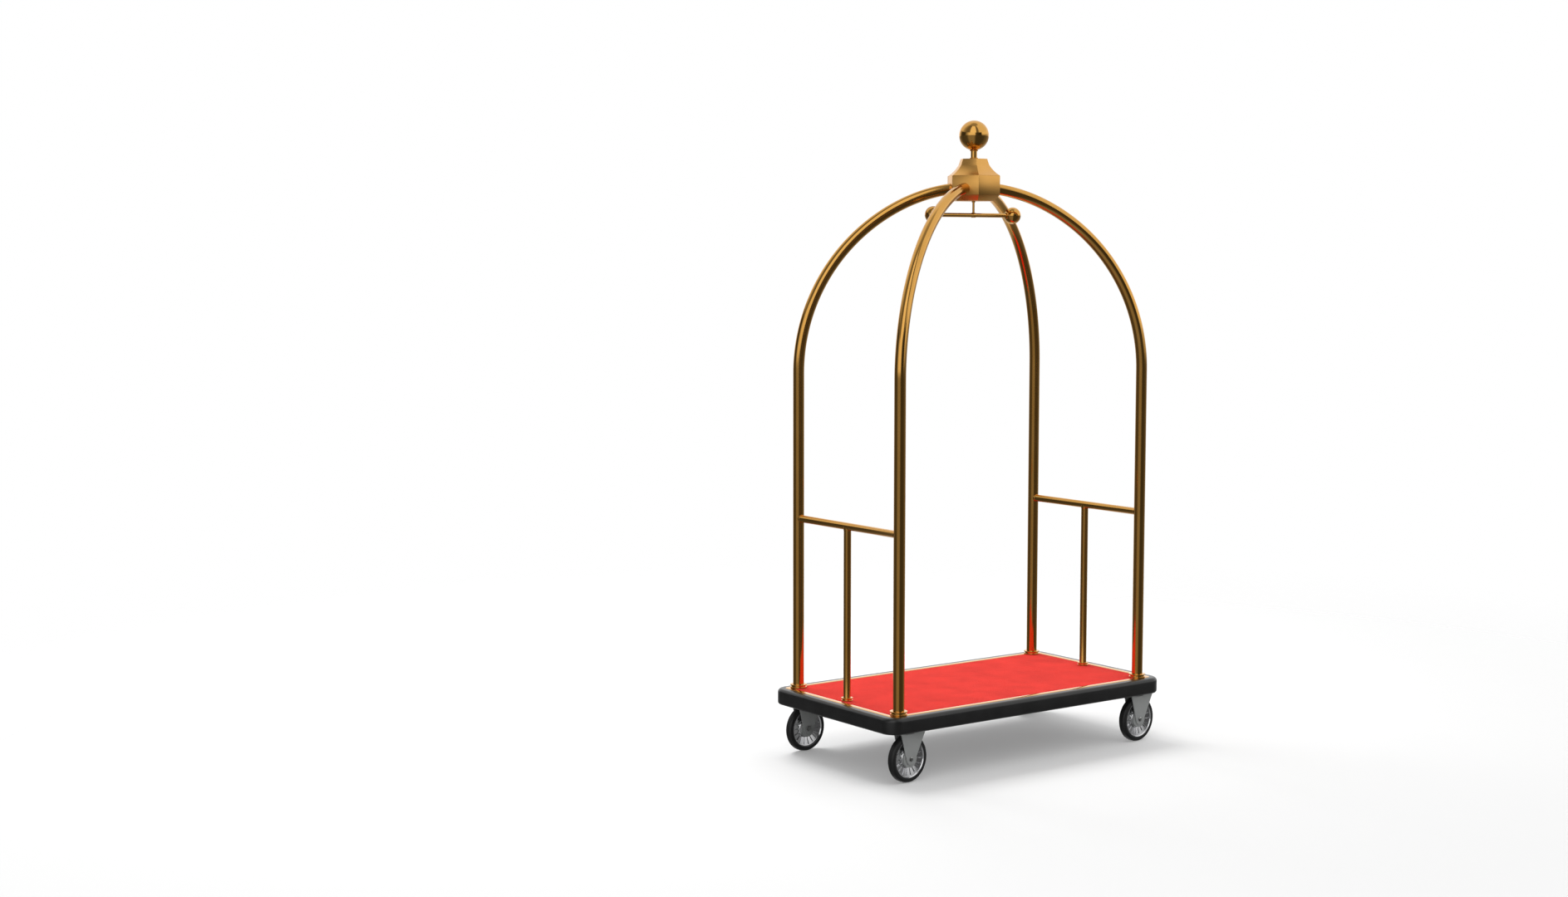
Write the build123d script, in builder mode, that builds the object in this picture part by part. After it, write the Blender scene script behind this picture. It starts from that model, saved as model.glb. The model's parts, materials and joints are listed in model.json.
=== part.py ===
from build123d import *
from math import atan2, cos, degrees, hypot, radians, sin, sqrt
import os

# Hotel luggage cart of the birdcage kind: four bent tubes rise from the corners of a carpeted deck and
# meet in a hexagonal crown with a ball finial and a hanging bar, over four swivel casters.
# Millimetres. The origin is on the floor under the middle of the deck, +X runs along the cart from rear
# to front, +Y across it to the left, +Z up.

# ---------------------------------------------------------------- driving dimensions

# Deck, over the bumper
deck_length = 1080.0
deck_width = 582.0
deck_corner_radius = 46.0
board_thickness = 18.0
carpet_thickness = 3.5
carpet_gap = 0.3              # between the carpet and the trim round it
trim_width = 18.0
trim_thickness = 4.0
trim_pad_margin = 0.5         # a pad of the trim shows this much round each flange
trim_tab_width = 12.0         # joins the pad of a centre post to the trim

# Bumper: a wall round the deck with a lip over the board's edge
bumper_wall = 14.0
bumper_band = 24.0            # width of the bumper seen from above
bumper_lip_thickness = 3.0
bumper_top_rounding = 11.0
bumper_bottom_rounding = 8.0
bumper_clearance = 4.5        # over the turning forks

# Pressed pan under the board
pan_sheet = 3.0
pan_skirt_depth = 18.0
pan_end_width = 134.0
pan_side_width = 78.0
pan_middle_strap = 70.0
pan_window_corner = 31.0

# Corner posts, which are one bent tube each with the arches
post_inset_x = 65.0           # from the bumper's outside to a post's middle
post_inset_y = 48.5
tube_diameter = 33.4
tube_wall = 2.0
post_straight_length = 957.0  # from the deck to the start of the bends
arch_shoulder_radius = 560.0
arch_shoulder_angle = 64.2    # degrees turned by the shoulder bend before the wider top bend
arch_end_radius = 42.0        # the tubes stop this far from the cart's axis, inside the crown
socket_fit = 0.15

# End rails and centre posts
rail_rise = 517.0             # from the deck to the rail's middle
rail_diameter = 22.0
rail_wall = 1.5

# Flanges at the foot of each post
flange_width = 8.8            # from the post's outside to the flange's
flange_height = 10.5
centre_flange_width = 6.5
centre_flange_height = 9.0
flange_foot = 0.45            # share of the height that is the round foot, below the neck
flange_neck_wall = 2.6
flange_fit = 0.15

# Crown
hexagon_sides = 6             # of the crown, the bolt heads and the nuts
crown_radius = 83.6           # to a corner of the hexagon
crown_face_height = 57.0
crown_face_margin = 1.0       # of the face below the tubes
crown_taper_height = 18.5
crown_taper_inset = 18.8
cap_height = 51.0
cap_neck_height = 33.0
cap_neck_radius = 48.8
cap_top_radius = 42.5
cap_cove_depth = 2.8

# Finial
stem_height = 27.0
stem_neck_radius = 9.6
stem_ring_radius = 12.5
stem_ring_height = 4.0
stem_ring_rounding = 1.2
stem_rod_radius = 6.0
stem_rod_fit = 0.1
stem_rod_in_crown = 34.0
stem_rod_in_ball = 30.0
finial_ball_radius = 45.0

# Hanging bar
hanger_bar_drop = 42.0        # from the crown's underside to the bar's middle
hanger_bar_diameter = 12.7
hanger_rod_diameter = 7.0
hanger_rod_in_crown = 18.0
hanger_ball_radius = 25.5
hanger_ball_spacing = 314.0
hanger_ball_seat = 12.0       # depth of the bar's end in the ball
hanger_collar_radius = 9.5
hanger_collar_length = 5.0
hanger_fit = 0.05

# Casters
wheel_diameter = 140.0
tyre_width = 25.0
tyre_thickness = 13.0
tyre_shoulder = 8.5
rim_lip_inset = 0.5           # the tyre stands this much wider than the rim's lip on each side
rim_lip_thickness = 3.0
rim_dish_floor = 4.5          # from the wheel's middle plane to the dish at the boss
rim_dish_edge = 9.0           # and at the lip
rim_boss_radius = 26.0
rim_boss_clearance = 1.0      # from the boss to the fork's leg
rim_slot_count = 18           # shallow slots that leave ribs between them
rim_slot_width = 3.4
rim_slot_depth = 2.0
rim_slot_margin = 3.5         # from a slot's end to the boss or the lip
bearing_radius = 13.0
bearing_width = 9.0
bearing_axle_fit = 0.05
axle_radius = 5.0
axle_hole_fit = 0.1
axle_head_radius = 7.0
axle_head_height = 2.6
axle_socket_radius = 2.9
axle_nut_radius = 8.6
axle_nut_height = 5.0
caster_inset_x = 82.5         # from the bumper's outside to a swivel axis
caster_inset_y = 43.7
caster_trail = 12.0           # from the swivel axis to the axle
fork_clearance = 1.5          # from the tyre to the fork's leg
fork_sheet = 2.5
fork_foot_radius = 17.0
fork_leg_front = 38.0         # the leg's top reaches this far in front of the axle
fork_leg_back = 56.0          # and this far behind it
fork_seat_radius = 29.0
fork_bend_radius = 2.4
tyre_to_fork_gap = 4.0
race_radius = 27.0
race_neck_radius = 21.0
race_height = 24.2
race_foot_height = 11.0
swivel_gap = 0.3              # between faces that turn past each other
kingpin_radius = 6.0
kingpin_fit = 0.05
kingpin_head_radius = 9.0
kingpin_head_height = 1.2
caster_plate_length = 80.0
caster_plate_width = 52.0
caster_plate_thickness = 4.0
caster_plate_corner = 7.0
rest_heading = {"rear_right": 5.5, "rear_left": 4.0, "front_right": 4.0, "front_left": 0.0}

# Fasteners
bolt_radius = 4.0             # M8
bolt_hole_fit = 0.2
bolt_head_radius = 7.5        # to a corner
bolt_head_height = 5.3
bolt_pocket_fit = 1.0
post_pocket_depth = 7.0
post_bolt_reach = 22.0        # into the plug in the post's foot
plug_height = 32.0
plug_fit = 0.1
caster_bolt_spacing_x = 60.0
caster_bolt_spacing_y = 36.0
caster_nut_height = 6.0
caster_nut_depth = 7.0        # pocket in the board's top
screw_radius = 2.2
screw_head_radius = 4.6
screw_head_height = 2.4
screw_reach = 12.0
screw_fit = 0.05
screw_edge = 36.0             # from the pan's long edges
screw_pitch = 250.0

# ---------------------------------------------------------------- places that follow from them

wheel_radius = wheel_diameter / 2
tube_radius = tube_diameter / 2
rail_radius = rail_diameter / 2
flange_diameter = tube_diameter + 2 * flange_width
centre_flange_diameter = rail_diameter + 2 * centre_flange_width

post_spacing_x = deck_length - 2 * post_inset_x
post_spacing_y = deck_width - 2 * post_inset_y
caster_spacing_x = deck_length - 2 * caster_inset_x
caster_spacing_y = deck_width - 2 * caster_inset_y

fork_inner_width = tyre_width + 2 * fork_clearance
fork_outer_width = fork_inner_width + 2 * fork_sheet
rim_radius = wheel_radius - tyre_thickness
rim_lip_width = tyre_width - 2 * rim_lip_inset
rim_boss_width = fork_inner_width - 2 * rim_boss_clearance
bearing_face = fork_inner_width / 2 - swivel_gap

fork_crown_bottom = wheel_diameter + tyre_to_fork_gap
fork_crown_top = fork_crown_bottom + fork_sheet
race_top = fork_crown_top + race_height
caster_plate_bottom = race_top + swivel_gap
pan_bottom = caster_plate_bottom + caster_plate_thickness
board_bottom = pan_bottom + pan_sheet
board_top = board_bottom + board_thickness
carpet_top = board_top + carpet_thickness
trim_top = board_top + trim_thickness
bumper_bottom = fork_crown_top + bumper_clearance
bumper_top = board_top + bumper_lip_thickness
rail_height = trim_top + rail_rise
arch_spring_height = trim_top + post_straight_length

post_radius = hypot(post_spacing_x, post_spacing_y) / 2
shoulder_end_radius = post_radius - arch_shoulder_radius * (1 - cos(radians(arch_shoulder_angle)))
arch_top_radius = shoulder_end_radius / cos(radians(arch_shoulder_angle))
arch_centre_height = (
    arch_spring_height + (arch_shoulder_radius - arch_top_radius) * sin(radians(arch_shoulder_angle))
)
arch_end_angle = degrees(atan2(sqrt(arch_top_radius**2 - arch_end_radius**2), arch_end_radius))

half_side_angle = 180 / hexagon_sides
hexagon_apothem = cos(radians(half_side_angle))   # for a radius of 1
crown_face_angles = [half_side_angle * (1 + 2 * i) for i in range(hexagon_sides // 2)]
crown_apothem = crown_radius * hexagon_apothem
socket_height = arch_centre_height + sqrt(arch_top_radius**2 - crown_apothem**2)
crown_face_bottom = socket_height - tube_radius - crown_face_margin
crown_face_top = crown_face_bottom + crown_face_height
crown_bottom = crown_face_bottom - crown_taper_height
cap_top = crown_face_top + cap_height
finial_seat = cap_top + stem_height
finial_centre = finial_seat + sqrt(finial_ball_radius**2 - stem_ring_radius**2)
hanger_height = crown_bottom - hanger_bar_drop
hanger_bar_end = hanger_ball_spacing / 2 - hanger_ball_radius + hanger_ball_seat

ends = ((-1, "rear"), (1, "front"))
sides = ((-1, "right"), (1, "left"))
corners = [(x, y, f"{end}_{side}") for x, end in ends for y, side in sides]
post_places = [(x * post_spacing_x / 2, y * post_spacing_y / 2) for x, y, _ in corners]
centre_places = [(x * post_spacing_x / 2, 0) for x, _ in ends]
caster_places = [(x * caster_spacing_x / 2, y * caster_spacing_y / 2) for x, y, _ in corners]
caster_bolt_places = [
    (x + i * caster_bolt_spacing_x / 2, y + j * caster_bolt_spacing_y / 2)
    for x, y in caster_places
    for i in (-1, 1)
    for j in (-1, 1)
]
screw_places = [
    (i * screw_pitch, y * (deck_width / 2 - bumper_wall - screw_edge)) for i in (-1, 0, 1) for y in (-1, 1)
]

os.makedirs("parts", exist_ok=True)


def save(piece, name):
    """Label a finished piece and write its STEP file."""
    piece.part.label = name
    export_step(piece.part, f"parts/{name}.step")


def deck_outline(inset):
    """The deck's rounded outline, drawn inside the bumper's outer edge by an inset."""
    RectangleRounded(deck_length - 2 * inset, deck_width - 2 * inset, deck_corner_radius - inset)


def upright_plane(x_dir, origin=(0, 0, 0)):
    """A vertical plane whose local x runs along a level direction and whose local y is up."""
    direction = Vector(*x_dir)
    return Plane(origin=origin, x_dir=direction, z_dir=direction.cross(Vector(0, 0, 1)))


# ---------------------------------------------------------------- deck

with BuildSketch() as carpet_window:
    deck_outline(bumper_band + trim_width)
    with Locations(*post_places):
        Circle(flange_diameter / 2 + trim_pad_margin, mode=Mode.SUBTRACT)
    with Locations(*centre_places):
        Circle(centre_flange_diameter / 2 + trim_pad_margin, mode=Mode.SUBTRACT)
    for end, _ in ends:
        with Locations((end * deck_length / 2, 0)):
            Rectangle(2 * post_inset_x, trim_tab_width, mode=Mode.SUBTRACT)

with BuildPart() as deck_board:
    with BuildSketch(Plane.XY.offset(board_bottom)):
        deck_outline(bumper_wall)
    extrude(amount=board_thickness)
    with Locations(*[(x, y, board_bottom) for x, y in post_places + centre_places]):
        Cylinder(
            bolt_head_radius + bolt_pocket_fit,
            post_pocket_depth,
            align=(Align.CENTER, Align.CENTER, Align.MIN),
            mode=Mode.SUBTRACT,
        )
    with Locations(*[(x, y, board_top) for x, y in caster_bolt_places]):
        CounterBoreHole(
            bolt_radius + bolt_hole_fit,
            bolt_head_radius + bolt_pocket_fit,
            caster_nut_depth,
            board_thickness,
        )
    with Locations(*[(x, y, board_top) for x, y in post_places + centre_places]):
        Hole(bolt_radius + bolt_hole_fit, board_thickness)
    with Locations(*[(x, y, board_bottom) for x, y in screw_places]):
        Cylinder(
            screw_radius + screw_fit,
            screw_reach,
            align=(Align.CENTER, Align.CENTER, Align.MIN),
            mode=Mode.SUBTRACT,
        )
save(deck_board, "deck_board")

with BuildPart() as base_pan:
    with BuildSketch(Plane.XY.offset(board_bottom)):
        deck_outline(bumper_wall)
    extrude(amount=-pan_skirt_depth)
    with BuildSketch(Plane.XY.offset(pan_bottom)):
        deck_outline(bumper_wall + pan_sheet)
    extrude(amount=-pan_skirt_depth, mode=Mode.SUBTRACT)
    window_length = deck_length / 2 - bumper_wall - pan_end_width - pan_middle_strap / 2
    window_width = deck_width - 2 * (bumper_wall + pan_side_width)
    with BuildSketch(Plane.XY.offset(pan_bottom)):
        with Locations(*[(x * (window_length + pan_middle_strap) / 2, 0) for x, _ in ends]):
            RectangleRounded(window_length, window_width, pan_window_corner)
    extrude(amount=pan_sheet, mode=Mode.SUBTRACT)
    with Locations(*[(x, y, board_bottom) for x, y in caster_bolt_places]):
        Hole(bolt_radius + bolt_hole_fit, pan_sheet)
    with Locations(*[(x, y, board_bottom) for x, y in screw_places]):
        Hole(screw_radius + screw_fit, pan_sheet)
save(base_pan, "base_pan")

with BuildPart() as carpet:
    with BuildSketch(Plane.XY.offset(board_top)):
        add(carpet_window.sketch)
        offset(amount=-carpet_gap, kind=Kind.INTERSECTION)
    extrude(amount=carpet_thickness)
save(carpet, "carpet")

with BuildPart() as trim_frame:
    with BuildSketch(Plane.XY.offset(board_top)):
        deck_outline(bumper_band)
        add(carpet_window.sketch, mode=Mode.SUBTRACT)
        with Locations(*(post_places + centre_places)):
            Circle(bolt_radius + bolt_hole_fit, mode=Mode.SUBTRACT)
    extrude(amount=trim_thickness)
save(trim_frame, "trim_frame")

with BuildPart() as bumper:
    with BuildSketch(Plane.XY.offset(bumper_bottom)):
        deck_outline(0)
    extrude(amount=bumper_top - bumper_bottom)
    fillet(bumper.faces().sort_by(Axis.Z)[-1].edges(), bumper_top_rounding)
    fillet(bumper.faces().sort_by(Axis.Z)[0].edges(), bumper_bottom_rounding)
    with BuildSketch(Plane.XY.offset(bumper_bottom)):
        deck_outline(bumper_wall)
    extrude(amount=board_top - bumper_bottom, mode=Mode.SUBTRACT)
    with BuildSketch(Plane.XY.offset(board_top)):
        deck_outline(bumper_band)
    extrude(amount=bumper_lip_thickness, mode=Mode.SUBTRACT)
save(bumper, "bumper")

# ---------------------------------------------------------------- posts and arches


def arch_line(start_radius, plane):
    """The top bend's centre line from the crown outwards to a level distance from the axis."""
    start_angle = degrees(atan2(sqrt(arch_top_radius**2 - start_radius**2), start_radius))
    with BuildLine(plane) as line:
        CenterArc((0, arch_centre_height), arch_top_radius, start_angle, arch_end_angle - start_angle)
    return line


def flange(place, held_radius, diameter, height):
    """A turned flange at the foot of a post: a straight foot under a rounded neck."""
    bore = held_radius + flange_fit
    neck = bore + flange_neck_wall
    foot_height = flange_foot * height
    with BuildPart() as piece:
        with BuildSketch(upright_plane((1, 0, 0), (*place, trim_top))):
            with BuildLine():
                Polyline((bore, height), (bore, 0), (diameter / 2, 0), (diameter / 2, foot_height))
                RadiusArc((diameter / 2, foot_height), (neck, height), -height)
                Line((neck, height), (bore, height))
            make_face()
        revolve(axis=Axis((*place, 0), (0, 0, 1)))
    return piece


for (x, y), (_, _, corner) in zip(post_places, corners):
    arch_plane = upright_plane((x / post_radius, y / post_radius, 0))
    with BuildPart() as arch_tube:
        with BuildLine(arch_plane):
            Line((post_radius, trim_top), (post_radius, arch_spring_height))
            CenterArc(
                (post_radius - arch_shoulder_radius, arch_spring_height),
                arch_shoulder_radius,
                0,
                arch_shoulder_angle,
            )
            CenterArc(
                (0, arch_centre_height),
                arch_top_radius,
                arch_shoulder_angle,
                arch_end_angle - arch_shoulder_angle,
            )
        with BuildSketch(Plane(origin=(x, y, trim_top))):
            Circle(tube_radius)
            Circle(tube_radius - tube_wall, mode=Mode.SUBTRACT)
        sweep()
    save(arch_tube, f"arch_tube_{corner}")

    post_flange = flange((x, y), tube_radius, flange_diameter, flange_height)
    save(post_flange, f"post_flange_{corner}")

for (x, y), (_, end) in zip(centre_places, ends):
    with BuildPart() as end_rail:
        with BuildSketch(Plane.XZ.offset(-post_spacing_y / 2)):
            with Locations((x, rail_height)):
                Circle(rail_radius)
                Circle(rail_radius - rail_wall, mode=Mode.SUBTRACT)
        extrude(amount=post_spacing_y)
        with Locations(*[(x, side * post_spacing_y / 2, rail_height) for side, _ in sides]):
            Cylinder(tube_radius, 2 * rail_diameter, mode=Mode.SUBTRACT)
    save(end_rail, f"end_rail_{end}")

    with BuildPart() as centre_post:
        with BuildSketch(Plane.XY.offset(trim_top)):
            with Locations((x, y)):
                Circle(rail_radius)
                Circle(rail_radius - rail_wall, mode=Mode.SUBTRACT)
        extrude(amount=rail_height - trim_top)
        with Locations(Location((x, y, rail_height), (90, 0, 0))):
            Cylinder(rail_radius, 2 * rail_diameter, mode=Mode.SUBTRACT)
    save(centre_post, f"centre_post_{end}")

    centre_flange = flange((x, y), rail_radius, centre_flange_diameter, centre_flange_height)
    save(centre_flange, f"centre_flange_{end}")

# Threaded plugs in the feet of all six posts, and the bolts that hold them from under the board
with BuildPart() as post_plugs:
    for places, outer in (
        (post_places, tube_radius - tube_wall - plug_fit),
        (centre_places, rail_radius - rail_wall - plug_fit),
    ):
        with BuildSketch(Plane.XY.offset(trim_top)):
            with Locations(*places):
                Circle(outer)
                Circle(bolt_radius + plug_fit, mode=Mode.SUBTRACT)
        extrude(amount=plug_height)
save(post_plugs, "post_plugs")

with BuildPart() as post_bolts:
    post_bolt_seat = board_bottom + post_pocket_depth
    with BuildSketch(Plane.XY.offset(post_bolt_seat)):
        with Locations(*(post_places + centre_places)):
            RegularPolygon(bolt_head_radius, hexagon_sides)
    extrude(amount=-bolt_head_height)
    with BuildSketch(Plane.XY.offset(post_bolt_seat)):
        with Locations(*(post_places + centre_places)):
            Circle(bolt_radius)
    extrude(amount=trim_top + post_bolt_reach - post_bolt_seat)
save(post_bolts, "post_bolts")

with BuildPart() as pan_screws:
    with BuildSketch(Plane.XY.offset(pan_bottom)):
        with Locations(*screw_places):
            Circle(screw_head_radius)
    extrude(amount=-screw_head_height)
    with BuildSketch(Plane.XY.offset(pan_bottom)):
        with Locations(*screw_places):
            Circle(screw_radius)
    extrude(amount=pan_sheet + screw_reach)
save(pan_screws, "pan_screws")

# ---------------------------------------------------------------- crown, finial and hanging bar

with BuildPart() as crown_hub:
    with BuildSketch(Plane.XY.offset(crown_face_bottom)):
        RegularPolygon(crown_radius, hexagon_sides)
    extrude(amount=crown_face_height)
    with BuildSketch(Plane.XY.offset(crown_face_bottom)):
        RegularPolygon(crown_radius, hexagon_sides)
    with BuildSketch(Plane.XY.offset(crown_bottom)):
        RegularPolygon(crown_radius - crown_taper_inset, hexagon_sides)
    loft()
    for x, y in post_places:
        arch_plane = upright_plane((x / post_radius, y / post_radius, 0))
        socket_line = arch_line(crown_radius, arch_plane)
        with BuildSketch(Plane(origin=socket_line.line @ 0, z_dir=socket_line.line % 0)):
            Circle(tube_radius + socket_fit)
        sweep(path=socket_line.line, mode=Mode.SUBTRACT)
    with Locations((0, 0, crown_face_top)):
        Cylinder(
            stem_rod_radius + stem_rod_fit,
            stem_rod_in_crown,
            align=(Align.CENTER, Align.CENTER, Align.MAX),
            mode=Mode.SUBTRACT,
        )
    with Locations((0, 0, crown_bottom)):
        Cylinder(
            hanger_rod_diameter / 2 + hanger_fit,
            hanger_rod_in_crown,
            align=(Align.CENTER, Align.CENTER, Align.MIN),
            mode=Mode.SUBTRACT,
        )
save(crown_hub, "crown_hub")

with BuildPart() as crown_cap:
    with BuildSketch(Plane.XY.offset(crown_face_top)):
        RegularPolygon(crown_radius, hexagon_sides)
    extrude(amount=cap_height)
    for face_angle in crown_face_angles:
        face_dir = (cos(radians(face_angle)), sin(radians(face_angle)), 0)
        with BuildSketch(upright_plane(face_dir, (0, 0, crown_face_top))):
            with BuildLine():
                foot = (crown_apothem, 0)
                neck = (cap_neck_radius * hexagon_apothem, cap_neck_height)
                top = (cap_top_radius * hexagon_apothem, cap_height)
                SagittaArc(foot, neck, cap_cove_depth)
                Polyline(neck, top, (0, cap_height), (0, 0), foot)
            make_face()
            mirror(about=Plane.YZ)
        extrude(amount=crown_radius, both=True, mode=Mode.INTERSECT)
    with Locations((0, 0, cap_top)):
        Cylinder(
            stem_rod_radius + stem_rod_fit,
            cap_height,
            align=(Align.CENTER, Align.CENTER, Align.MAX),
            mode=Mode.SUBTRACT,
        )
save(crown_cap, "crown_cap")

with BuildPart() as finial_stem:
    with BuildSketch(Plane.XZ):
        with BuildLine():
            neck_foot = cap_top + stem_ring_height
            neck_head = finial_seat - stem_ring_height
            Polyline(
                (0, crown_face_top - stem_rod_in_crown + stem_rod_fit),
                (stem_rod_radius, crown_face_top - stem_rod_in_crown + stem_rod_fit),
                (stem_rod_radius, cap_top),
                (stem_ring_radius, cap_top),
                (stem_ring_radius, neck_foot),
                (stem_neck_radius, neck_foot),
                (stem_neck_radius, neck_head),
                (stem_ring_radius, neck_head),
                (stem_ring_radius, finial_seat),
                (stem_rod_radius, finial_seat),
                (stem_rod_radius, finial_seat + stem_rod_in_ball),
                (0, finial_seat + stem_rod_in_ball),
                (0, crown_face_top - stem_rod_in_crown + stem_rod_fit),
            )
        make_face()
    revolve(axis=Axis.Z)
    ring_rims = finial_stem.edges().filter_by(GeomType.CIRCLE)
    fillet(ring_rims.filter_by(lambda rim: rim.radius == stem_ring_radius), stem_ring_rounding)
save(finial_stem, "finial_stem")

with BuildPart() as finial_ball:
    with Locations((0, 0, finial_centre)):
        Sphere(finial_ball_radius)
    split(bisect_by=Plane.XY.offset(finial_seat), keep=Keep.TOP)
    with Locations((0, 0, finial_seat)):
        Cylinder(
            stem_rod_radius + stem_rod_fit,
            stem_rod_in_ball + stem_rod_fit,
            align=(Align.CENTER, Align.CENTER, Align.MIN),
            mode=Mode.SUBTRACT,
        )
save(finial_ball, "finial_ball")

with BuildPart() as hanger_rod:
    with BuildSketch(Plane.XY.offset(hanger_height)):
        Circle(hanger_rod_diameter / 2)
    extrude(amount=hanger_bar_drop + hanger_rod_in_crown)
save(hanger_rod, "hanger_rod")

with BuildPart() as hanger_bar:
    with BuildSketch(Plane.YZ.offset(-hanger_bar_end)):
        with Locations((0, hanger_height)):
            Circle(hanger_bar_diameter / 2)
    extrude(amount=2 * hanger_bar_end)
    with Locations((0, 0, hanger_height)):
        Cylinder(
            hanger_rod_diameter / 2 + hanger_fit,
            hanger_bar_diameter,
            align=(Align.CENTER, Align.CENTER, Align.MIN),
            mode=Mode.SUBTRACT,
        )
save(hanger_bar, "hanger_bar")

with BuildPart() as hanger_balls:
    for side, _ in ends:
        with Locations((side * hanger_ball_spacing / 2, 0, hanger_height)):
            Sphere(hanger_ball_radius)
        inner_face = hanger_ball_spacing / 2 - hanger_ball_radius
        with BuildSketch(Plane.YZ.offset(side * (inner_face - hanger_collar_length / 2))):
            with Locations((0, hanger_height)):
                Circle(hanger_collar_radius)
        extrude(amount=side * (hanger_ball_seat - hanger_collar_length))
        with BuildSketch(Plane.YZ.offset(side * (inner_face - hanger_collar_length))):
            with Locations((0, hanger_height)):
                Circle(hanger_bar_diameter / 2 + hanger_fit)
        extrude(amount=side * (hanger_ball_seat + hanger_collar_length), mode=Mode.SUBTRACT)
save(hanger_balls, "hanger_balls")

# ---------------------------------------------------------------- casters, the fixed side

with BuildPart() as kingpins:
    with BuildSketch(Plane.XY.offset(fork_crown_bottom - swivel_gap)):
        with Locations(*caster_places):
            Circle(kingpin_head_radius)
    extrude(amount=-kingpin_head_height)
    with BuildSketch(Plane.XY.offset(fork_crown_bottom - swivel_gap)):
        with Locations(*caster_places):
            Circle(kingpin_radius)
    extrude(amount=pan_bottom - fork_crown_bottom + swivel_gap)
save(kingpins, "kingpins")

with BuildPart() as caster_bolts:
    with BuildSketch(Plane.XY.offset(caster_plate_bottom)):
        with Locations(*caster_bolt_places):
            RegularPolygon(bolt_head_radius, hexagon_sides)
    extrude(amount=-bolt_head_height)
    with BuildSketch(Plane.XY.offset(caster_plate_bottom)):
        with Locations(*caster_bolt_places):
            Circle(bolt_radius)
    extrude(amount=board_top - caster_nut_depth + caster_nut_height - caster_plate_bottom)
save(caster_bolts, "caster_bolts")

with BuildPart() as caster_nuts:
    with BuildSketch(Plane.XY.offset(board_top - caster_nut_depth)):
        with Locations(*caster_bolt_places):
            RegularPolygon(bolt_head_radius, hexagon_sides)
            Circle(bolt_radius + screw_fit, mode=Mode.SUBTRACT)
    extrude(amount=caster_nut_height)
save(caster_nuts, "caster_nuts")

# ---------------------------------------------------------------- casters, one of each piece per corner

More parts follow.
